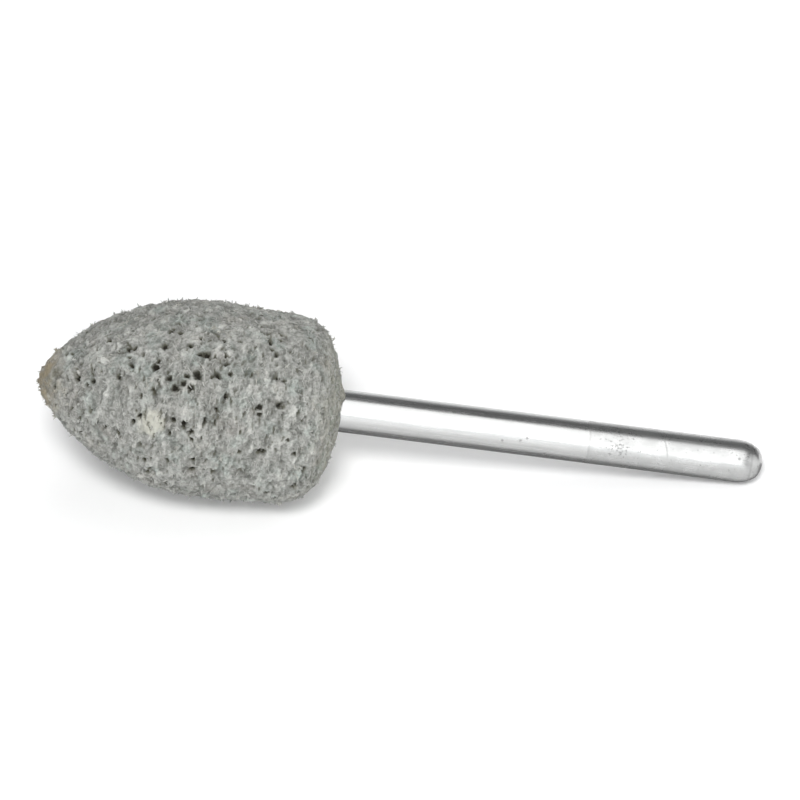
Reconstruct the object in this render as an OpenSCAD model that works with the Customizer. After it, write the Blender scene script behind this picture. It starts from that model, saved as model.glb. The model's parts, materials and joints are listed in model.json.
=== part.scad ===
// Mounted point: a bullet-shaped, fibre-bonded abrasive head cemented on a plain round steel shank.
// It lies as it comes to rest, on a small flat at the back edge of the soft head and on the end
// of the shank, with the tip towards -X and the surface that it lies on at Z = 0.

/* [Abrasive head] */
// Diameter at the widest section
head_d = 13.8; // [11:0.1:18]
// Length from the back to the tip
head_l = 21.3; // [19:0.1:28]
// Distance from the back to the widest section
widest = 9.3; // [8.5:0.1:12]
// Diameter that the tapered body would have at the back
back_d = 13; // [10:0.1:13.8]
// Radius of the rounded tip
nose_r = 2.3; // [1.5:0.1:3]
// Radius of the worn back edge
edge_r = 2.8; // [1.5:0.1:3.5]
// Radius of the domed back
dome_r = 11; // [9:0.5:30]
// How far the head sits off the line of the shank
runout = 0.45; // [0:0.05:0.6]
// Depth of the small flat on which the soft head lies
flat_deep = 0.12; // [0.05:0.01:0.3]

/* [Shank] */
// Diameter
shank_d = 3; // [2.4:0.05:3.2]
// Length outside the head
shank_out = 30; // [20:0.5:45]
// Length held inside the head
shank_in = 14; // [9:0.5:15]
// Radius of the domed free end
end_r = 1.62; // [1.61:0.01:3]
// Break of the edge at the inner end
inner_chamfer = 0.3; // [0.1:0.05:0.6]

/* [Key grooves] */
// Number of grooves that key the shank into the cement
groove_n = 5; // [2:1:6]
// Width of a groove
groove_w = 1; // [0.6:0.1:1.2]
// Depth of a groove
groove_deep = 0.2; // [0.1:0.05:0.4]
// Distance from the back of the head to the first groove
groove_from = 0.15; // [0.15:0.05:1]

/* [Cement] */
// Thickness of the cement round the shank
cement_t = 0.2; // [0.1:0.02:0.4]
// Thickness of the cement under the shank's inner end
cement_floor = 0.3; // [0.1:0.05:1]
// Distance of the cement below the back of the head
cement_low = 0.3; // [0.2:0.05:1]

/* [Hidden] */
$fn = 96;

// Margin by which a cut runs past the face that it opens
cut = 1;
// Angle that one straight step of a round outline spans
arc_step = 4;

head_r = head_d / 2;
back_r = back_d / 2;
shank_r = shank_d / 2;
bore_r = shank_r + cement_t;
bore_deep = shank_in + cement_floor;
taper = atan((head_r - back_r) / widest);

// The tip's arc and the flank's arc touch, and the flank's arc is level at the widest section.
nose_c = [0, head_l - nose_r];
flank_run = nose_c[1] - widest;
flank_r = (flank_run * flank_run + head_r * head_r - nose_r * nose_r) / (2 * (head_r - nose_r));
flank_c = [head_r - flank_r, widest];
nose_angle = atan2(flank_run, flank_r - head_r);

// The back edge's arc touches the tapered body and the dome.
dome_c = [0, dome_r];
edge_c = touch([back_r, 0], taper, edge_r, dome_c, dome_r - edge_r);
dome_angle = atan2(edge_c[1] - dome_r, edge_c[0]);

// Where the dome of the free end meets the straight shank
end_rise = end_r - sqrt(end_r * end_r - shank_r * shank_r);
end_y = end_rise - shank_out;

// Lying at rest: the tilt of the line that trims the back edge by the flat's depth and touches the
// end of the straight shank
rest_run = edge_c[1] - end_y;
rest_drop = edge_c[0] + runout - shank_r;
rest_tilt = atan2(rest_drop, rest_run) + asin((edge_r - flat_deep) / norm([rest_run, rest_drop]));
rest_lift = shank_r * cos(rest_tilt) - end_y * sin(rest_tilt);
rest_shift = (max_x() + min_x()) / 2;

// Centre of a circle of radius r that touches, from inside, a line that starts at p and leans
// outwards by lean, and lies at distance d from c
function touch(p, lean, r, c, d) =
    let (
        along = [sin(lean), cos(lean)],
        start = p + r * [-cos(lean), sin(lean)],
        gap = start - c,
        half = gap * along
    )
    start - (half + sqrt(half * half - gap * gap + d * d)) * along;

// Points along an arc
function arc(c, r, from, to) =
    let (n = ceil(abs(to - from) / arc_step))
    [for (i = [0 : n]) c + r * [cos(from + (to - from) * i / n), sin(from + (to - from) * i / n)]];

// A list without its first point, where another arc has already drawn it
function rest(list) = [for (i = [1 : len(list) - 1]) list[i]];

// The part's ends along X before it is centred
function max_x() = (shank_out - end_r) * cos(rest_tilt) + end_r;
function min_x() = -nose_c[1] * cos(rest_tilt) - runout * sin(rest_tilt) - nose_r;

// From upright, with the tip up and the shank's line on Z, to lying at rest
module lying() {
    translate([-rest_shift, 0, rest_lift])
        rotate([0, rest_tilt - 90, 0])
            children();
}

// The head's own line lies below the shank's line, so that the heavy side is down.
module head_line() {
    translate([-runout, 0, 0])
        children();
}

module head_outline() {
    polygon(concat(
        arc(dome_c, dome_r, -90, dome_angle),
        rest(arc(edge_c, edge_r, dome_angle, -taper)),
        arc(flank_c, flank_r, 0, nose_angle),
        rest(arc(nose_c, nose_r, nose_angle, 90))
    ));
}

// What is taken off below the surface that the part lies on, to leave the flat
module below_surface() {
    translate([-head_l - rest_shift, -head_r, -cut])
        cube([head_l, head_d, cut]);
}

module abrasive_head() {
    color([0.56, 0.57, 0.55])
        difference() {
            lying()
                difference() {
                    head_line()
                        rotate_extrude()
                            head_outline();
                    translate([0, 0, -cut])
                        cylinder(r = bore_r, h = bore_deep + cut);
                }
            below_surface();
        }
}

// A plain pin from its square free end to its inner end, with the key grooves
module shank_body() {
    groove_pitch = (shank_in - groove_from - inner_chamfer) / groove_n;
    difference() {
        union() {
            translate([0, 0, -shank_out])
                cylinder(r = shank_r, h = shank_out + shank_in - inner_chamfer);
            translate([0, 0, shank_in - inner_chamfer])
                cylinder(r1 = shank_r, r2 = shank_r - inner_chamfer, h = inner_chamfer);
        }
        for (i = [0 : groove_n - 1])
            translate([0, 0, groove_from + i * groove_pitch])
                difference() {
                    cylinder(r = shank_d, h = groove_w);
                    translate([0, 0, -cut])
                        cylinder(r = shank_r - groove_deep, h = groove_w + 2 * cut);
                }
    }
}

// What is taken off the square end to leave a dome
module end_relief() {
    difference() {
        translate([0, 0, -shank_out - cut])
            cylinder(r = shank_d, h = end_r + cut);
        translate([0, 0, end_r - shank_out])
            sphere(r = end_r);
    }
}

module shank() {
    color([0.78, 0.79, 0.8])
        lying()
            difference() {
                shank_body();
                end_relief();
            }
}

module cement() {
    color([0.45, 0.38, 0.27])
        lying()
            difference() {
                translate([0, 0, cement_low])
                    cylinder(r = bore_r, h = bore_deep - cement_low);
                shank_body();
            }
}

abrasive_head();
cement();
shank();
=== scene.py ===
# Looks of a mounted point: a bullet-shaped head of bonded grey fibre on a drawn steel shank.
import json
import math
import random

import bmesh
import bpy
import numpy as np
from mathutils import Matrix, Vector, noise
from mathutils.bvhtree import BVHTree
from mathutils.kdtree import KDTree


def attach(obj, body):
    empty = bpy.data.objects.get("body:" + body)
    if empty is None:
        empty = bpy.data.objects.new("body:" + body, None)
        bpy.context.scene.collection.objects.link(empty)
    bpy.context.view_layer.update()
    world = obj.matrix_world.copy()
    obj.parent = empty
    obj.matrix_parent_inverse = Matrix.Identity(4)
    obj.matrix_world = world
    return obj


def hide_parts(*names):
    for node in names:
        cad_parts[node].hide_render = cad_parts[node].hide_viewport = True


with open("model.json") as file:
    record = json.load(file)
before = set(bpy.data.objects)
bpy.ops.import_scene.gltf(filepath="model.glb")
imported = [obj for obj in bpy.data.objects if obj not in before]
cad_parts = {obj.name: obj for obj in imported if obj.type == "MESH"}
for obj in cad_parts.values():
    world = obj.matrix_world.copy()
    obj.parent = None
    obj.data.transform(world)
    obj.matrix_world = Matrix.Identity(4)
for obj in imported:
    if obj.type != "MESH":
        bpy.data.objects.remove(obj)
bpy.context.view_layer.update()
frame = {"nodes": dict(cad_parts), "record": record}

MM = 0.001
SEED = 41
# Without this the noise vectors start from the clock, and the head changes from run to run
noise.seed_set(SEED)

# The shank's line, from the mount that a collet grips
GRIP = frame["record"]["mounts"][0]
GRIP_POS = Vector(GRIP["pos_m"])
TO_END = Vector(GRIP["axis"]).normalized()
TO_TIP = -TO_END
FRONT = Vector((0, -1, 0))
UP = TO_TIP.cross(FRONT).normalized()

# Sizes of the part, in mm, measured along the shank's line from the back of the head
SHANK_R = GRIP["dims"]["r_mm"]
SHANK_OUT = 30.0
SHANK_IN = 14.0
END_R = 1.62
END_RISE = END_R - math.sqrt(END_R ** 2 - SHANK_R ** 2)
INNER_CHAMFER = 0.3
GROOVES = 5
GROOVE_W = 1.0
GROOVE_DEEP = 0.2
GROOVE_FROM = 0.15
HEAD_LENGTH = 21.3
HEAD_R = 6.9
RUNOUT = 0.45
BORE_R = 1.7
BORE_DEEP = 14.3
WALL_LENGTH = SHANK_OUT - END_RISE + GROOVE_FROM
BACK = GRIP_POS + TO_TIP * (WALL_LENGTH / 2 - GROOVE_FROM) * MM
HEAD_BACK = BACK - UP * RUNOUT * MM


def place(along, out, angle, start=BACK):
    """World point at a distance along the line, a distance out from it and an angle from UP to FRONT."""
    return start + (TO_TIP * along + (UP * math.cos(angle) + FRONT * math.sin(angle)) * out) * MM


def to_lines(points, start):
    """Distance along a line from its start, distance out and angle round it, in mm and radians."""
    away = (points - np.array(start)) / MM
    along = away @ np.array(TO_TIP)
    up = away @ np.array(UP)
    front = away @ np.array(FRONT)
    return along, np.hypot(up, front), np.arctan2(front, up)


# The picture, 800 by 800 pixels: where the shank's line leaves the head and where it ends
PICTURE = 800
ROOT_PIXEL = Vector((342, 410.7))
END_PIXEL = Vector((763.1, 464.2))
LENS = 270.0
SENSOR = 36.0
FOCAL_PIXELS = LENS / SENSOR * PICTURE

# The height of the view follows from the slope that the tilted shank has in the picture
SLOPE = (END_PIXEL.y - ROOT_PIXEL.y) / (END_PIXEL.x - ROOT_PIXEL.x)
ELEVATION = math.acos(SLOPE * TO_END.x / -TO_END.z)
VIEW = Vector((0, math.cos(ELEVATION), -math.sin(ELEVATION)))
RIGHT = Vector((1, 0, 0))
ABOVE = RIGHT.cross(VIEW)


def eye():
    """Where the camera stands, and the pixels to a metre at the part."""
    end = place(-SHANK_OUT, 0, 0)
    span = end - BACK
    scale = (END_PIXEL - ROOT_PIXEL).length / Vector((span.dot(RIGHT), span.dot(ABOVE))).length
    middle = (ROOT_PIXEL + END_PIXEL) / 2 - Vector((PICTURE / 2, PICTURE / 2))
    aim = (BACK + end) / 2 - RIGHT * middle.x / scale + ABOVE * middle.y / scale
    return aim - VIEW * FOCAL_PIXELS / scale, scale


EYE, PIXELS_PER_M = eye()


def sight(x, y):
    """Direction in which the camera sees a pixel."""
    right = RIGHT * (x - PICTURE / 2) / FOCAL_PIXELS
    down = ABOVE * (y - PICTURE / 2) / FOCAL_PIXELS
    return (VIEW + right - down).normalized()


def smoothstep(low, high, value):
    share = np.clip((value - low) / (high - low), 0, 1)
    return share * share * (3 - 2 * share)


def noise_at(points, size, offset=0.0):
    """Smooth noise from -1 to 1 at each point, with features of about the given size."""
    shift = Vector((offset, offset * 1.7, offset * 0.6))
    return np.array([noise.noise(Vector(p) / size + shift) for p in points])


def add_object(name, data, material=None):
    made = bpy.data.objects.new(name, data)
    bpy.context.scene.collection.objects.link(made)
    if material:
        data.materials.clear()
        data.materials.append(material)
    return made


def to_mesh(shape, name):
    """A new mesh of a bmesh, which is freed."""
    mesh = bpy.data.meshes.new(name)
    shape.to_mesh(mesh)
    shape.free()
    return mesh


def evaluated_mesh(form):
    """A new mesh of what an object's modifiers or its curve give."""
    return bpy.data.meshes.new_from_object(form.evaluated_get(bpy.context.evaluated_depsgraph_get()))


def shade_smooth(mesh):
    mesh.polygons.foreach_set("use_smooth", [True] * len(mesh.polygons))


# Materials

def put(nodes, kind, inputs=None, **settings):
    """A new node with its settings, its inputs linked to sockets or set to values."""
    made = nodes.new(kind)
    for key, value in settings.items():
        setattr(made, key, value)
    for key, value in (inputs or {}).items():
        if isinstance(value, bpy.types.NodeSocket):
            link(nodes, value, made.inputs[key])
        else:
            made.inputs[key].default_value = value
    return made


def new_material(name):
    material = bpy.data.materials.new(name)
    material.use_nodes = True
    nodes = material.node_tree.nodes
    return material, nodes, nodes["Principled BSDF"]


def link(nodes, source, target):
    nodes.id_data.links.new(source, target)


def object_coords(nodes):
    return put(nodes, "ShaderNodeTexCoord").outputs["Object"]


def attribute(nodes, name):
    return put(nodes, "ShaderNodeAttribute", attribute_name=name).outputs["Fac"]


def grain(nodes, coords, size_mm, detail=4.0, rough=0.55):
    """Noise with features of about the given size."""
    made = put(nodes, "ShaderNodeTexNoise", {"Vector": coords, "Scale": 1 / (size_mm * MM)})
    made.inputs["Detail"].default_value = detail
    made.inputs["Roughness"].default_value = rough
    return made.outputs["Fac"]


def spread(nodes, value, low, high, to_low=0.0, to_high=1.0):
    inputs = {"Value": value, "From Min": low, "From Max": high, "To Min": to_low, "To Max": to_high}
    return put(nodes, "ShaderNodeMapRange", inputs).outputs["Result"]


def arithmetic(nodes, operation, first, second):
    return put(nodes, "ShaderNodeMath", {0: first, 1: second}, operation=operation).outputs[0]


def blend(nodes, *shares):
    """Sum of values, each with its share."""
    total = None
    for value, share in shares:
        part = arithmetic(nodes, "MULTIPLY", value, share)
        total = part if total is None else arithmetic(nodes, "ADD", total, part)
    return total


def mix(nodes, share, first, second, how="MIX"):
    """Two colours, sockets or values, mixed by a share. A mix node's colours are its inputs 6 and 7."""
    made = put(nodes, "ShaderNodeMix", {"Factor": share}, data_type="RGBA", blend_type=how)
    for index, value in ((6, first), (7, second)):
        if isinstance(value, bpy.types.NodeSocket):
            link(nodes, value, made.inputs[index])
        else:
            made.inputs[index].default_value = (*value, 1)
    return made.outputs[2]


def ramp(nodes, value, stops):
    made = put(nodes, "ShaderNodeValToRGB", {"Fac": value})
    elements = made.color_ramp.elements
    while len(elements) < len(stops):
        elements.new(0.5)
    for element, (at, colour) in zip(elements, stops):
        element.position = at
        element.color = (*colour, 1)
    return made.outputs["Color"]


def soft_edge(shader):
    """The pale edge that fine fluff gives a fibrous surface."""
    shader.inputs["Sheen Weight"].default_value = 0.14
    shader.inputs["Sheen Roughness"].default_value = 0.6
    shader.inputs["Sheen Tint"].default_value = (0.86, 0.87, 0.83, 1)


def bonded_fibre():
    material, nodes, shader = new_material("bonded_fibre")
    coords = object_coords(nodes)
    coarse = spread(nodes, grain(nodes, coords, 0.42, 4.0, 0.6), 0.3, 0.7)
    fine = spread(nodes, grain(nodes, coords, 0.16, 3.0, 0.6), 0.3, 0.7)
    mottle = blend(nodes, (coarse, 0.5), (fine, 0.5))
    # Part of the tone follows the height attribute: darker in creases and pores, as painted shade in the
    # hollows
    level = blend(nodes, (mottle, 0.42), (attribute(nodes, "height"), 0.33),
                  (attribute(nodes, "shade"), 0.25))
    grey = ramp(nodes, level, (
        (0.2, (0.098, 0.1, 0.089)),
        (0.38, (0.205, 0.208, 0.193)),
        (0.5, (0.302, 0.306, 0.287)),
        (0.62, (0.402, 0.406, 0.382)),
        (0.8, (0.575, 0.575, 0.545)),
    ))
    blotch = spread(nodes, grain(nodes, coords, 1.5, 2.0), 0.5, 0.68, 0.0, 0.6)
    cool = mix(nodes, blotch, grey, (0.89, 1.0, 0.985), "MULTIPLY")
    warm_share = spread(nodes, grain(nodes, coords, 2.3, 2.0), 0.5, 0.7, 0.0, 0.7)
    toned = mix(nodes, warm_share, cool, (1.0, 0.955, 0.945), "MULTIPLY")
    pale = mix(nodes, attribute(nodes, "pale"), toned, (0.535, 0.53, 0.462))
    rim = mix(nodes, attribute(nodes, "rim"), pale, (1.0, 0.97, 0.8), "MULTIPLY")
    stain = mix(nodes, attribute(nodes, "stain"), rim, (0.25, 0.205, 0.125))
    # Pores and slits darken to olive and then near black: painted shade in the hollows. The same attribute
    # carries the dark stain above the tip
    torn = blend(nodes, (attribute(nodes, "pore"), 1.0), (spread(nodes, fine, 0, 1, -0.22, 0.22), 1.0))
    olive_pore_shade = mix(nodes, spread(nodes, torn, 0.12, 0.5, 0.0, 0.85), stain, (0.096, 0.094, 0.068))
    pores = mix(nodes, spread(nodes, torn, 0.5, 0.85), olive_pore_shade, (0.018, 0.016, 0.011))
    link(nodes, pores, shader.inputs["Base Color"])
    shader.inputs["Roughness"].default_value = 0.95
    shader.inputs["Specular IOR Level"].default_value = 0.15
    soft_edge(shader)
    bump = put(nodes, "ShaderNodeBump", {"Height": mottle, "Strength": 0.7, "Distance": 0.12 * MM})
    link(nodes, bump.outputs["Normal"], shader.inputs["Normal"])
    return material


def loose_fibre():
    material, nodes, shader = new_material("loose_fibre")
    coords = object_coords(nodes)
    grey = ramp(nodes, grain(nodes, coords, 0.5, 3.0), (
        (0.3, (0.24, 0.243, 0.228)),
        (0.5, (0.342, 0.346, 0.326)),
        (0.7, (0.46, 0.46, 0.435)),
    ))
    warm = mix(nodes, spread(nodes, grain(nodes, coords, 1.9, 2.0), 0.5, 0.7, 0.0, 0.5),
               grey, (1.0, 0.96, 0.86), "MULTIPLY")
    stain = mix(nodes, attribute(nodes, "stain"), warm, (0.228, 0.188, 0.114))
    link(nodes, stain, shader.inputs["Base Color"])
    link(nodes, spread(nodes, grain(nodes, coords, 0.2), 0.3, 0.7, 0.8, 0.95), shader.inputs["Roughness"])
    shader.inputs["Specular IOR Level"].default_value = 0.2
    soft_edge(shader)
    return material


# Marks on the shank, and a painted dark ring at the edge of its dome: how far from the head, in mm, and the
# angle from the top to the front, in degrees
USED_FROM = 17.45
# Where the wall meets the dome: a dark ring painted there stands in for the edge's shade
END_SHADE_RING = 29.05
SPECKS_AT = (19.6, 57)
SCRATCH_AT = (22.9, 38)
SCRATCH_SLANT = 0.35
NICKS_AT = ((11.32, 75), (12.6, 68), (13.03, 60), (14.46, 103), (28.13, 43))


def shank_spot(along, angle):
    """A point of the shank's wall in coordinates turned so that X runs along the shank."""
    turned = math.radians(angle)
    middle = Vector((BACK.dot(TO_END), 0, BACK.dot(UP)))
    return middle + Vector((along, -SHANK_R * math.sin(turned), SHANK_R * math.cos(turned))) * MM


def near(nodes, coords, point, inner, outer):
    """A share that falls from 1 to 0 between two distances from a point, in mm."""
    away = put(nodes, "ShaderNodeVectorMath", {0: coords, 1: point}, operation="DISTANCE").outputs["Value"]
    return spread(nodes, away, inner * MM, outer * MM, 1.0, 0.0)


def drawn_steel():
    material, nodes, shader = new_material("drawn_steel")
    turn = put(nodes, "ShaderNodeMapping", {"Vector": object_coords(nodes)}, vector_type="POINT")
    turn.inputs["Rotation"].default_value = (0, -math.asin(-TO_END.z), 0)
    coords = turn.outputs["Vector"]
    split = put(nodes, "ShaderNodeSeparateXYZ", {"Vector": coords})
    along = split.outputs["X"]
    drawn = put(nodes, "ShaderNodeMapping", {"Vector": coords, "Scale": (0.03, 1, 1)})
    lines = grain(nodes, drawn.outputs["Vector"], 0.09, 4.0, 0.6)
    smudge = grain(nodes, coords, 1.1, 5.0, 0.6)
    specks = grain(nodes, coords, 0.2, 3.0, 0.7)

    # The part that a collet has gripped: greyed and scuffed, with a faint ring at its start; the dark ring
    # near the end is painted shade at the edge where the wall meets the dome
    start = shank_spot(USED_FROM, 0).x
    used = spread(nodes, along, start, start + 0.15 * MM)
    marks_and_edge_shade = None
    for at in (start, shank_spot(END_SHADE_RING, 0).x):
        away = arithmetic(nodes, "ABSOLUTE", arithmetic(nodes, "SUBTRACT", along, at), 0.0)
        ring = spread(nodes, away, 0.03 * MM, 0.12 * MM, 0.35, 0.0)
        marks_and_edge_shade = ring if marks_and_edge_shade is None else arithmetic(nodes, "MAXIMUM", marks_and_edge_shade, ring)
    worn_share = spread(nodes, smudge, 0.36, 0.6, 0.25, 1.0)
    dull = arithmetic(nodes, "MULTIPLY", spread(nodes, used, 0.0, 1.0, 0.25, 1.0), worn_share)
    scuffed = near(nodes, coords, shank_spot(*SPECKS_AT), 0.3, 1.1)
    over = arithmetic(nodes, "SUBTRACT", specks, spread(nodes, scuffed, 0.0, 1.0, 0.62, 0.5))
    spots = arithmetic(nodes, "MULTIPLY", used, spread(nodes, over, 0.0, 0.1))
    scratch_at = shank_spot(*SCRATCH_AT)
    slant = blend(nodes, (along, 1.0), (split.outputs["Y"], SCRATCH_SLANT))
    off_line = arithmetic(nodes, "SUBTRACT", slant, scratch_at.x + SCRATCH_SLANT * scratch_at.y)
    on_line = spread(nodes, arithmetic(nodes, "ABSOLUTE", off_line, 0.0), 0.02 * MM, 0.08 * MM, 0.5, 0.0)
    scratch = arithmetic(nodes, "MULTIPLY", on_line, near(nodes, coords, scratch_at, 0.5, 0.8))
    marks_and_edge_shade = arithmetic(nodes, "MAXIMUM", arithmetic(nodes, "MAXIMUM", spots, marks_and_edge_shade), scratch)
    for spot in NICKS_AT:
        nick = near(nodes, coords, shank_spot(*spot), 0.04, 0.14)
        marks_and_edge_shade = arithmetic(nodes, "MAXIMUM", marks_and_edge_shade, nick)

    base = ramp(nodes, lines, ((0.3, (0.55, 0.555, 0.55)), (0.7, (0.65, 0.65, 0.645))))
    greyed = mix(nodes, arithmetic(nodes, "MULTIPLY", dull, 0.5), base, (0.43, 0.435, 0.43))
    marked = mix(nodes, arithmetic(nodes, "MULTIPLY", marks_and_edge_shade, 0.6), greyed, (0.16, 0.16, 0.155))
    link(nodes, marked, shader.inputs["Base Color"])
    shader.inputs["Metallic"].default_value = 1.0
    rough = blend(nodes, (spread(nodes, lines, 0.3, 0.7, 0.18, 0.28), 1.0), (dull, 0.1), (marks_and_edge_shade, 0.2))
    link(nodes, rough, shader.inputs["Roughness"])
    bump = put(nodes, "ShaderNodeBump", {"Height": lines, "Strength": 0.25, "Distance": 0.004 * MM})
    worn = put(nodes, "ShaderNodeBump", {"Height": marks_and_edge_shade, "Strength": 0.4, "Distance": -0.01 * MM})
    link(nodes, bump.outputs["Normal"], worn.inputs["Normal"])
    link(nodes, worn.outputs["Normal"], shader.inputs["Normal"])
    return material


def cured_cement():
    material, nodes, shader = new_material("cured_cement")
    coords = object_coords(nodes)
    colour = ramp(nodes, grain(nodes, coords, 0.4), ((0.3, (0.11, 0.08, 0.04)), (0.7, (0.24, 0.18, 0.1))))
    link(nodes, colour, shader.inputs["Base Color"])
    link(nodes, spread(nodes, grain(nodes, coords, 0.15), 0.3, 0.7, 0.4, 0.7), shader.inputs["Roughness"])
    bump = put(nodes, "ShaderNodeBump", {"Height": grain(nodes, coords, 0.2), "Strength": 0.4})
    bump.inputs["Distance"].default_value = 0.03 * MM
    link(nodes, bump.outputs["Normal"], shader.inputs["Normal"])
    return material


# The head

VOXEL = 0.122
SMOOTH_PASSES = 3

# Open pores that show: pixel, width and length in pixels, and the length's turn from level, in degrees
PORES = (
    (77, 378, 6, 8, 40), (92, 381, 5, 7, 0), (93, 368, 3, 4, 90), (101, 372, 3, 4, -30),
    (53, 387, 3, 5, 90), (131, 365, 3, 8, -45), (155, 366, 7, 9, 0), (165, 345, 6, 7, 0),
    (128, 348, 4, 5, 90), (134, 347, 3, 5, 60), (123, 352, 2, 7, 0), (109, 340, 3, 6, -60),
    (169, 378, 5, 6, 0), (174, 388, 6, 9, 60), (186, 376, 3, 8, -40), (183, 383, 5, 6, -30),
    (191, 388, 5, 7, 90), (198, 374, 7, 11, 80), (207, 353, 8, 9, 20), (199, 354, 4, 7, 20),
    (211, 377, 3, 6, 50), (218, 376, 4, 10, -60), (231, 373, 4, 5, 0), (227, 363, 3, 8, 30),
    (227, 355, 3, 7, 90), (190, 345, 4, 7, -45), (201, 338, 3, 6, -60), (224, 339, 3, 5, 20),
    (240, 341, 3, 4, 0), (172, 330, 5, 7, 60), (180, 332, 4, 5, -50), (138, 314, 4, 6, 40),
    (154, 318, 3, 6, 0), (226, 307, 4, 6, -30), (260, 324, 3, 9, 0), (262, 331, 3, 7, -35),
    (270, 341, 4, 8, 80), (272, 349, 3, 6, -60), (277, 353, 3, 6, 80), (281, 333, 3, 7, -40),
    (281, 339, 4, 5, 0), (322, 362, 2, 7, -40), (278, 378, 3, 6, -60), (285, 380, 2, 6, 20),
    (260, 408, 6, 7, 90), (260, 415, 4, 5, -60), (279, 405, 5, 8, 80), (227, 397, 3, 9, 85),
    (217, 411, 3, 8, -60), (215, 423, 2, 8, 90), (204, 422, 3, 10, 80), (184, 426, 5, 9, 80),
    (190, 432, 5, 6, 40), (172, 421, 4, 6, 70), (170, 435, 3, 6, 80), (138, 416, 4, 7, 80),
    (132, 423, 4, 6, 80), (103, 427, 4, 5, -20), (193, 460, 4, 4, 0), (192, 471, 6, 8, 30),
    (147, 473, 4, 5, -40), (238, 452, 3, 5, 90), (264, 452, 3, 7, 70), (302, 469, 3, 6, 35),
    (289, 441, 3, 4, 40),
)

# Pixels at the middle of the dark patch above the tip and of the pale patch on the flank
TIP_PATCH = (55, 372)
PALE_PATCH = (150, 422)

# Pores and slits that are drawn at random, and how ragged an edge is: size in mm, and share of the width
SMALL_PORES = 110
SLITS = 1500
RAGGED_SIZE = 0.17
RAGGED_SHARE = 0.34

# Depths of the relief, how far the skin sinks for it, and the head's gap to the floor, in mm
LUMPS_DEEP = 0.09
TORN_DEEP = 0.15
FINE_DEEP = 0.05
SUNK = 0.06
FLOOR_GAP = 0.004

# The torn lip at the root of the shank: distance out in mm and angle, height and spread in mm
LIP_AT = (1.75, 0.2)
LIP_HIGH = 0.4
LIP_WIDE = 0.5


def remeshed_head():
    """An even, closed mesh of the CAD head, in mm."""
    shape = bmesh.new()
    shape.from_mesh(frame["nodes"]["abrasive_head"].data)
    bmesh.ops.remove_doubles(shape, verts=shape.verts, dist=1e-6)
    bmesh.ops.scale(shape, vec=(1 / MM,) * 3, verts=shape.verts)
    mesh = to_mesh(shape, "head_form")
    form = add_object("head_form", mesh)
    remesh = form.modifiers.new("even", "REMESH")
    remesh.mode = "VOXEL"
    remesh.voxel_size = VOXEL
    even = evaluated_mesh(form)
    bpy.data.objects.remove(form)
    bpy.data.meshes.remove(mesh)
    shape = bmesh.new()
    shape.from_mesh(even)
    for _ in range(SMOOTH_PASSES):
        bmesh.ops.smooth_vert(shape, verts=shape.verts, factor=0.5,
                              use_axis_x=True, use_axis_y=True, use_axis_z=True)
    shape.to_mesh(even)
    shape.free()
    return even


def read_vectors(items, name):
    values = np.zeros(len(items) * 3, np.float32)
    items.foreach_get(name, values)
    return values.reshape(-1, 3).astype(float)


def write_attribute(mesh, name, values):
    made = mesh.attributes.new(name, "FLOAT", "POINT")
    made.data.foreach_set("value", np.asarray(values, np.float32))


def skin_of(mesh, points):
    """The mesh's faces over the given points, for rays and for the nearest face."""
    return BVHTree.FromPolygons(points.tolist(), [list(p.vertices) for p in mesh.polygons])


def tree_of(points):
    """The points, for the nearest ones to a place."""
    tree = KDTree(len(points))
    for index, point in enumerate(points):
        tree.insert(point, index)
    tree.balance()
    return tree


def seen_spot(skin, pixel):
    """Where the camera sees a pixel on the skin, in mm, and the skin's normal there."""
    hit, normal, _, _ = skin.ray_cast(EYE / MM, sight(*pixel))
    return hit, normal


def away_from(points, spot):
    return np.linalg.norm(points - np.array(spot), axis=1)


def flakes_at(points, size, offset):
    """Heights, about -1 to 1, of torn flakes that lean every way, and a shade, 0 to 1, for each flake."""
    heights = []
    shades = []
    for point in points:
        spot = Vector(point) / size + Vector((offset, 0, 0))
        spot += noise.noise_vector(spot * 1.4) * 0.45
        distances, centres = noise.voronoi(spot)
        pick = noise.cell_vector(centres[0] * 31.7)
        lean = pick * 2 - Vector((1, 1, 1))
        gap = 1 - min(1.0, (distances[1] - distances[0]) / 0.2)
        heights.append(0.9 * lean.dot(spot - centres[0]) + 0.7 * lean.x - 0.45 * gap)
        shades.append(pick.y)
    return np.array(heights), np.array(shades)


def torn_skin(points, along, out, angle, round_share):
    """Heights, about -1 to 1, of lumps, torn flakes and fine grain, and the flakes' shades, 0 to 1."""
    lumps = noise_at(points, 1.9) * 0.55 + noise_at(points, 0.9, 7.3) * 0.45
    broad, broad_shade = flakes_at(points, 0.85, 2.9)
    small, small_shade = flakes_at(points, 0.4, 6.1)
    unrolled = np.stack((along / 0.36, angle * HEAD_R / 1.1, out / 0.5), axis=1)
    strips, strip_shade = flakes_at(unrolled, 1.0, 5.7)
    loose_share = 1 - 0.8 * round_share
    torn = loose_share * (0.6 * broad + 0.4 * small) + 0.8 * round_share * (0.75 * strips + 0.25 * small)
    shade = loose_share * (0.5 * broad_shade + 0.5 * small_shade) + (1 - loose_share) * strip_shade
    worn = 0.5 + 0.5 * smoothstep(0.6, 3.0, along)
    fine = noise_at(points, 0.2, 2.2)
    return lumps, torn * worn, fine, 0.5 + (shade - 0.5) * worn


def fibre_way(index, normals, round_share, draw):
    """A way along the skin: round the head where the fibres lie round it, and else any way."""
    normal = Vector(normals[index])
    around = normal.cross(TO_TIP).normalized()
    level = normal.cross(around)
    most = 90 - 65 * round_share[index]
    turn = math.radians(draw.uniform(-most, most))
    return around * math.cos(turn) + level * math.sin(turn)


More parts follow.
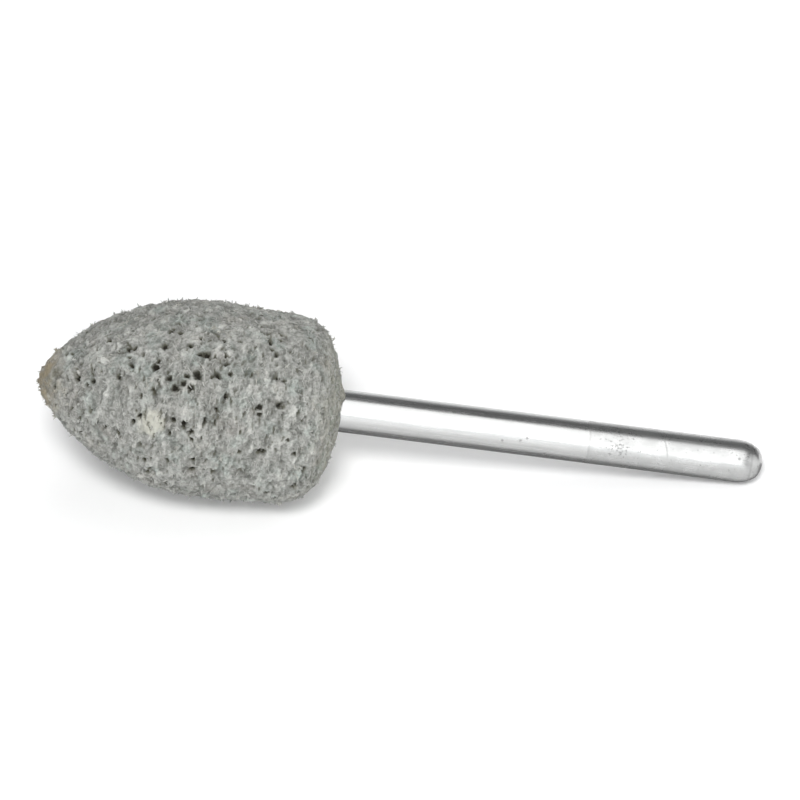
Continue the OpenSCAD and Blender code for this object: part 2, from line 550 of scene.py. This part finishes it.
def seen_pores(tree, skin):
    """The pores that the picture shows, each where the camera sees it on the skin."""
    pixels_per_mm = PIXELS_PER_M * MM
    for x, y, width, length, turn in PORES:
        hit, normal = seen_spot(skin, (x, y))
        _, index, _ = tree.find(hit)
        way = RIGHT * math.cos(math.radians(turn)) + ABOVE * math.sin(math.radians(turn))
        flat = way - normal * way.dot(normal)
        longer = 1 / max(flat.length, 0.6)
        # How dark the painted shade in the pore is, darker for a wider pore
        black = min(1.0, 0.6 + 0.1 * width)
        true_length = longer * length / pixels_per_mm
        true_width = 1.15 * width / pixels_per_mm
        yield index, flat.normalized(), true_length, true_width, 0.06 * length, black


def random_pores(normals, round_share, places, draw):
    """Small pores and many narrow slits all over the skin, each with a darkness for its painted shade."""
    for _ in range(SMALL_PORES):
        index = draw.choice(places)
        width = draw.uniform(0.18, 0.34)
        way = fibre_way(index, normals, round_share, draw)
        yield index, way, width * draw.uniform(1.0, 2.2), width, 0.25, draw.uniform(0.6, 0.95)
    for _ in range(SLITS):
        index = draw.choice(places)
        way = fibre_way(index, normals, round_share, draw)
        length = draw.uniform(0.25, 0.8)
        yield index, way, length, draw.uniform(0.11, 0.22), draw.uniform(0.1, 0.2), draw.uniform(0.2, 0.6)


def dig_pores(points, normals, tree, pores):
    """Depth in mm, and darkness from 0 to 1 for the painted shade in the hollows, that ragged pores give
    each point.
    """
    depth = np.zeros(len(points))
    dark = np.zeros(len(points))
    for index, way, length, width, deep, black in pores:
        across = Vector(normals[index]).cross(way)
        reach = 0.85 * max(length, width) + 0.1
        close = [found for _, found, _ in tree.find_range(Vector(points[index]), reach)]
        away = points[close] - points[index]
        ragged = np.array([noise.noise_vector(Vector(points[i]) / RAGGED_SIZE) for i in close])
        ragged = ragged * RAGGED_SHARE * width
        run = (away @ np.array(way) + ragged[:, 0]) / (0.5 * length)
        side = (away @ np.array(across) + ragged[:, 1]) / (0.5 * width)
        share = np.hypot(run, side)
        rim = smoothstep(0.95, 1.2, share) * (1 - smoothstep(1.2, 1.7, share))
        bowl = deep * (1 - smoothstep(0.6, 1.15, share)) - 0.035 * rim
        depth[close] = np.where(np.abs(bowl) > np.abs(depth[close]), bowl, depth[close])
        dark[close] = np.maximum(dark[close], black * (1 - smoothstep(0.5, 1.25, share)))
    return depth, dark


def shape_mouth(moved, points, bore_along, bore_out, in_bore):
    """Draws the mouth of the bore in to the shank and raises the torn lip."""
    mouth = (bore_out < BORE_R + 0.35) * (bore_along < 0.42)
    drawn_in = np.where(mouth, 1 - (SHANK_R + 0.02) / np.maximum(bore_out, 0.1), 0)
    hug = drawn_in * (1 - smoothstep(1.72, 2.05, bore_out))
    centre = np.array(BACK) / MM + np.outer(bore_along, np.array(TO_TIP))
    moved = moved + (centre - points) * hug[:, None]
    lip_away = away_from(points, np.array(place(0.0, *LIP_AT)) / MM)
    lip = LIP_HIGH * np.exp(-(lip_away / LIP_WIDE) ** 2) * (1 - in_bore * (bore_along > 0.4))
    return moved + np.outer(lip, np.array(TO_END))


def write_stains(mesh, points, along, torn, skin):
    """The stained tip, the warmer back and the pale patch."""
    tip = smoothstep(0.92, 0.99, along / HEAD_LENGTH + 0.025 * noise_at(points, 0.9, 1.3) + 0.012 * torn)
    tip = tip * (0.45 + 0.55 * smoothstep(-0.2, 0.25, noise_at(points, 0.55, 3.6)))
    back = 1 - smoothstep(0.4, 2.6, along + 0.5 * noise_at(points, 1.1, 8.8))
    patch, _ = seen_spot(skin, PALE_PATCH)
    pale = 1 - smoothstep(0.65, 1.25, away_from(points, patch) + 0.4 * noise_at(points, 0.6, 4.4))
    write_attribute(mesh, "stain", 0.85 * tip)
    write_attribute(mesh, "rim", 0.5 * back)
    write_attribute(mesh, "pale", 0.7 * pale)


def head(material):
    mesh = remeshed_head()
    points = read_vectors(mesh.vertices, "co")
    normals = read_vectors(mesh.vertices, "normal")
    along, out, angle = to_lines(points * MM, HEAD_BACK)
    bore_along, bore_out, _ = to_lines(points * MM, BACK)
    in_bore = (bore_out < BORE_R + 0.12) * (bore_along > -0.1) * (bore_along < BORE_DEEP + 0.2)
    mouth_fade = np.where(bore_along < 2, smoothstep(BORE_R + 0.05, BORE_R + 0.9, bore_out), 1)
    outside = (1 - in_bore) * mouth_fade

    # The fibres lie round the head on its lower and rear part and every way on its upper front part
    round_share = smoothstep(-0.35, 0.35, np.sin(angle) * 0.9 - 0.25 * np.cos(angle) - (along - 9) * 0.045)
    lumps, torn, fine, shade = torn_skin(points, along, out, angle, round_share)

    draw = random.Random(SEED)
    tree = tree_of(points)
    skin = skin_of(mesh, points)
    places = [i for i in range(len(points)) if outside[i] > 0.9]
    pores = [*seen_pores(tree, skin), *random_pores(normals, round_share, places, draw)]
    depth, dark = dig_pores(points, normals, tree, pores)
    tip_patch, _ = seen_spot(skin, TIP_PATCH)
    tip_away = away_from(points, tip_patch) + 0.25 * noise_at(points, 0.4, 5.2)
    dark = np.maximum(dark, 0.42 * (1 - smoothstep(0.2, 0.7, tip_away)))

    relief = LUMPS_DEEP * lumps + TORN_DEEP * torn + FINE_DEEP * fine - SUNK
    moved = points + normals * (outside * (relief - depth))[:, None]
    moved = shape_mouth(moved, points, bore_along, bore_out, in_bore)
    moved[:, 2] = np.maximum(moved[:, 2], FLOOR_GAP)
    mesh.vertices.foreach_set("co", (moved * MM).astype(np.float32).ravel())

    # Height for the colour: lighter where the skin stands higher, darker at flake edges and in pores, as
    # painted shade in the hollows
    height = np.clip(0.5 + 0.5 * torn + 0.15 * fine - 1.2 * depth, 0, 1) * (outside > 0.05)
    write_attribute(mesh, "height", height)
    write_attribute(mesh, "shade", shade)
    # Darkness of the pores and slits, which is painted shade, and of the dark stain above the tip
    write_attribute(mesh, "pore", dark)
    write_stains(mesh, points, along, torn, skin)
    shade_smooth(mesh)
    mesh.name = "fibre_head"
    made = add_object("fibre_head", mesh, material)
    return made, outside, round_share, dark


# Fibres

LYING_FIBRES = 2300
LYING_STEPS = 4
TUFTS = 1000
TUFT_SIZES = (2, 3, 5, 8)
STANDING_STEPS = 3
# A fibre starts where the skin is no darker than this, and a lying one stops at a pore that is darker
ROOT_DARK = 0.08
PORE_DARK = 0.4


def fibre_piece(name, strands, material):
    """Short tapered strands as one mesh. Each strand is a list of points and a radius, in mm."""
    curve = bpy.data.curves.new(name, "CURVE")
    curve.dimensions = "3D"
    curve.bevel_depth = 1.0
    curve.bevel_resolution = 0
    curve.use_fill_caps = False
    for points, radius in strands:
        last = len(points) - 1
        spline = curve.splines.new("POLY")
        spline.points.add(last)
        for index, point in enumerate(points):
            spline.points[index].co = (*(Vector(point) * MM), 1)
            spline.points[index].radius = radius * MM * (1 - 0.7 * (index / last) ** 2)
    form = add_object(name + "_form", curve)
    mesh = evaluated_mesh(form)
    bpy.data.objects.remove(form)
    bpy.data.curves.remove(curve)
    mesh.name = name
    along, _, _ = to_lines(read_vectors(mesh.vertices, "co"), HEAD_BACK)
    write_attribute(mesh, "stain", 0.7 * smoothstep(0.905, 0.985, along / HEAD_LENGTH))
    shade_smooth(mesh)
    return add_object(name, mesh, material)


def lying_strands(points, normals, skin, face_dark, roots, round_share, draw):
    """Fibres that lie along the skin and stop at a pore."""
    strands = []
    for _ in range(LYING_FIBRES):
        index = draw.choice(roots)
        normal = Vector(normals[index])
        way = fibre_way(index, normals, round_share, draw)
        side = normal.cross(way)
        length = draw.uniform(0.25, 0.65)
        bend = draw.uniform(-0.6, 0.6)
        radius = draw.uniform(0.025, 0.05)
        lift = draw.uniform(0.0, 0.06)
        strand = []
        for step in range(LYING_STEPS + 1):
            run = length * step / LYING_STEPS
            spot = Vector(points[index]) + way * run + side * bend * run * run
            hit, face_normal, face, _ = skin.find_nearest(spot)
            if face_dark[face] > PORE_DARK:
                break
            spot = hit + face_normal * (lift * math.sin(math.pi * step / LYING_STEPS) + 0.008)
            spot.z = max(spot.z, radius)
            strand.append(spot)
        if len(strand) > 2:
            strands.append((strand, radius))
    return strands


def standing_strands(points, normals, skin, roots, round_share, draw):
    """Tufts of short fibres that stand off the skin."""
    strands = []
    for _ in range(TUFTS):
        index = draw.choice(roots)
        normal = Vector(normals[index])
        tuft = draw.choice(TUFT_SIZES)
        lean = fibre_way(index, normals, round_share, draw) * draw.uniform(0.2, 1.0)
        for _ in range(tuft):
            side = Vector((draw.uniform(-1, 1), draw.uniform(-1, 1), draw.uniform(-1, 1)))
            root = skin.find_nearest(Vector(points[index]) + side * 0.012 * tuft)[0]
            way = (normal + lean + side * 0.5).normalized()
            length = draw.uniform(0.1, 0.27)
            radius = draw.uniform(0.03, 0.065)
            strand = []
            for step in range(STANDING_STEPS + 1):
                run = length * step / STANDING_STEPS
                spot = root - normal * 0.03 + way * run + side * 0.4 * run * run / length
                spot.z = max(spot.z, radius)
                strand.append(spot)
            strands.append((strand, radius))
    return strands


def head_fibres(made, outside, round_share, dark, material):
    mesh = made.data
    points = read_vectors(mesh.vertices, "co") / MM
    normals = read_vectors(mesh.vertices, "normal")
    skin = skin_of(mesh, points)
    draw = random.Random(SEED + 1)
    roots = [i for i in range(len(points)) if outside[i] > 0.85 and dark[i] < ROOT_DARK]
    face_dark = [dark[p.vertices[0]] for p in mesh.polygons]
    lying = lying_strands(points, normals, skin, face_dark, roots, round_share, draw)
    standing = standing_strands(points, normals, skin, roots, round_share, draw)
    return fibre_piece("lying_fibres", lying, material), fibre_piece("standing_fibres", standing, material)


# The shank

SEGMENTS = 160
WALL_STEPS = 60
BREAK_STEPS = 6
DOME_STEPS = 16
# Length of the round between the wall and the dome, to either side of their edge, in mm
END_BREAK = 0.8


def shank_profile():
    """Half section from the inner end to the domed free end, as distances along and out, in mm."""
    pitch = (SHANK_IN - GROOVE_FROM - INNER_CHAMFER) / GROOVES
    section = [(SHANK_IN, 0.0), (SHANK_IN, SHANK_R - INNER_CHAMFER), (SHANK_IN - INNER_CHAMFER, SHANK_R)]
    for number in reversed(range(GROOVES)):
        start = GROOVE_FROM + number * pitch
        section += [(start + GROOVE_W, SHANK_R), (start + GROOVE_W, SHANK_R - GROOVE_DEEP)]
        section += [(start, SHANK_R - GROOVE_DEEP), (start, SHANK_R)]
    straight = SHANK_OUT - END_RISE
    section += [(-(straight - END_BREAK) * step / WALL_STEPS, SHANK_R) for step in range(1, WALL_STEPS + 1)]
    rim_angle = math.asin(SHANK_R / END_R)
    dome_angle = rim_angle - END_BREAK / END_R

    def dome(turn):
        return Vector((-(SHANK_OUT - END_R + END_R * math.cos(turn)), END_R * math.sin(turn)))

    first = Vector(section[-1])
    corner = Vector((-straight, SHANK_R))
    last = dome(dome_angle)
    for step in range(1, BREAK_STEPS + 1):
        share = step / BREAK_STEPS
        section.append(first.lerp(corner, share).lerp(corner.lerp(last, share), share)[:])
    section += [dome(dome_angle * (1 - step / DOME_STEPS))[:] for step in range(1, DOME_STEPS + 1)]
    return section


def line_order(point):
    """A number of its own for each point of the shank, first by distance along and then by angle and out."""
    away = (point - BACK) / MM
    up = away.dot(UP)
    front = away.dot(FRONT)
    return round(away.dot(TO_TIP), 3) * 1e5 + math.atan2(front, up) * 10 + math.hypot(front, up)


def shank(material):
    shape = bmesh.new()
    corners = [shape.verts.new(place(along, out, 0)) for along, out in shank_profile()]
    edges = [shape.edges.new(pair) for pair in zip(corners, corners[1:])]
    bmesh.ops.spin(shape, geom=corners + edges, cent=BACK, axis=TO_TIP, angle=math.tau,
                   steps=SEGMENTS, use_merge=True)
    bmesh.ops.remove_doubles(shape, verts=shape.verts, dist=1e-7)
    bmesh.ops.recalc_face_normals(shape, faces=shape.faces)
    # A spin lists its faces in an order that changes from run to run, so the mesh is put in order
    shape.verts.sort(key=lambda corner: line_order(corner.co))
    shape.faces.sort(key=lambda face: line_order(face.calc_center_median()))
    mesh = to_mesh(shape, "steel_shank")
    shade_smooth(mesh)
    mesh.set_sharp_from_angle(angle=math.radians(25))
    return add_object("steel_shank", mesh, material)


# Stage, light and camera

# How far from the part the lamps light the paper, and from where its own white stands in for them, in m
LAMPS_REACH = 0.12
WHITE_FROM = 0.5


def floor():
    shape = bmesh.new()
    bmesh.ops.create_grid(shape, x_segments=1, y_segments=1, size=2.0)
    bmesh.ops.translate(shape, vec=(0, 0, -0.01 * MM), verts=shape.verts)
    mesh = to_mesh(shape, "floor")
    material = bpy.data.materials.new("white_paper")
    material.use_nodes = True
    nodes = material.node_tree.nodes
    nodes.clear()
    path = put(nodes, "ShaderNodeLightPath")
    seen = arithmetic(nodes, "MAXIMUM", path.outputs["Is Camera Ray"], path.outputs["Is Glossy Ray"])
    seen = arithmetic(nodes, "MAXIMUM", seen, path.outputs["Is Transmission Ray"])
    paper = put(nodes, "ShaderNodeBsdfDiffuse", {"Color": (0.97, 0.97, 0.97, 1)})
    away = put(nodes, "ShaderNodeVectorMath", {0: object_coords(nodes)}, operation="LENGTH").outputs["Value"]
    white = spread(nodes, away, LAMPS_REACH, WHITE_FROM, 0.06, 0.9)
    glow = put(nodes, "ShaderNodeEmission", {"Strength": arithmetic(nodes, "MULTIPLY", seen, white)})
    both = put(nodes, "ShaderNodeAddShader", {0: paper.outputs[0], 1: glow.outputs[0]})
    put(nodes, "ShaderNodeOutputMaterial", {"Surface": both.outputs[0]})
    add_object("floor", mesh, material)


# Tones of the card under the shank, a painted shadow that the steel reflects, from front to back, by
# distance over the height of the shank's line
CARD_TONES = (
    (-9.0, 1.0), (-3.6, 0.94), (-1.9, 0.85), (-1.1, 0.76),
    (-0.8, 0.5), (-0.65, 0.27), (-0.2, 0.22), (1.3, 0.25),
)
# Where the card's rows lie along the shank, in mm, and how far their tones fade to a mid tone
MID_TONE = 0.6
CARD_ROWS = ((6.0, 0.0), (-SHANK_OUT, 0.0), (-SHANK_OUT - 5.0, 0.6))


def shade_card():
    """A dark card on the floor under the shank, seen only in the steel: a painted shadow that gives the
    steel its darker lower side.
    """
    shape = bmesh.new()
    tones = shape.verts.layers.float.new("tone")
    rows = []
    for along, faded in CARD_ROWS:
        over = place(along, 0, 0)
        rows.append([shape.verts.new((over.x, side * over.z, 0.02 * MM)) for side, _ in CARD_TONES])
        for corner, (_, tone) in zip(rows[-1], CARD_TONES):
            corner[tones] = tone + (MID_TONE - tone) * faded
    lines = [[shape.edges.new(pair) for pair in zip(row, row[1:])] for row in rows]
    for first, second in zip(lines, lines[1:]):
        bmesh.ops.bridge_loops(shape, edges=first + second)
    bmesh.ops.recalc_face_normals(shape, faces=shape.faces)
    mesh = to_mesh(shape, "shade_card")
    material, nodes, shader = new_material("shade_card")
    link(nodes, attribute(nodes, "tone"), shader.inputs["Base Color"])
    shader.inputs["Roughness"].default_value = 1.0
    shader.inputs["Specular IOR Level"].default_value = 0.0
    made = add_object("shade_card", mesh, material)
    made.visible_camera = False
    made.visible_diffuse = False
    made.visible_transmission = False
    made.visible_shadow = False


def area_light(name, direction, distance, size, radiance, in_gloss=True, on_matte=True):
    """A square lamp that faces the part, with its brightness given as seen."""
    lamp = bpy.data.lights.new(name, "AREA")
    lamp.shape = "SQUARE"
    lamp.size = size
    lamp.energy = radiance * math.pi * size * size
    made = add_object(name, lamp)
    toward = Vector(direction).normalized()
    made.location = toward * distance
    made.rotation_euler = toward.to_track_quat("Z", "Y").to_euler()
    made.visible_glossy = in_gloss
    made.visible_diffuse = on_matte


def lights():
    world = bpy.data.worlds.new("studio")
    world.use_nodes = True
    nodes = world.node_tree.nodes
    coords = put(nodes, "ShaderNodeTexCoord").outputs["Generated"]
    depth = put(nodes, "ShaderNodeSeparateXYZ", {"Vector": coords}).outputs["Y"]
    ahead = spread(nodes, depth, 0.1, -0.75, 0.16, 0.42)
    low = spread(nodes, depth, -0.7, -0.9, 0.0, 1.0)
    behind = spread(nodes, depth, 0.88, 1.0, 0.0, 0.7)
    strength = blend(nodes, (ahead, 1.0), (low, 1.0), (behind, 1.0))
    link(nodes, strength, nodes["Background"].inputs["Strength"])
    nodes["Background"].inputs["Color"].default_value = (0.98, 0.99, 1.0, 1)
    bpy.context.scene.world = world
    area_light("reflector", (-0.1, -0.46, 1.0), 0.45, 0.8, 1.6, on_matte=False)
    area_light("side_reflector", (1.0, -0.25, 0.25), 0.5, 0.4, 1.0, on_matte=False)
    area_light("fill", -VIEW + RIGHT * 0.2, 0.6, 0.35, 2.1, in_gloss=False)
    area_light("top", (0.4, 0.3, 1.0), 0.6, 0.6, 1.1, in_gloss=False)
    area_light("key", (-0.1, -0.68, 1.0), 0.5, 0.12, 32.5, in_gloss=False)


def camera():
    lens = bpy.data.cameras.new("camera")
    lens.lens = LENS
    lens.sensor_width = SENSOR
    lens.clip_start = 0.01
    made = add_object("camera", lens)
    made.matrix_world = Matrix.Translation(EYE) @ Matrix((RIGHT, ABOVE, -VIEW)).transposed().to_4x4()
    bpy.context.scene.camera = made


def build():
    fibre = bonded_fibre()
    loose = loose_fibre()
    steel = drawn_steel()
    made, outside, round_share, dark = head(fibre)
    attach(made, "root")
    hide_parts("abrasive_head")
    for piece in head_fibres(made, outside, round_share, dark, loose):
        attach(piece, "root")
    pin = shank(steel)
    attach(pin, "root")
    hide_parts("shank")
    frame["nodes"]["cement"].material_slots[0].material = cured_cement()
    floor()
    shade_card()
    lights()
    camera()
    bpy.context.scene.view_settings.view_transform = "Standard"


build()
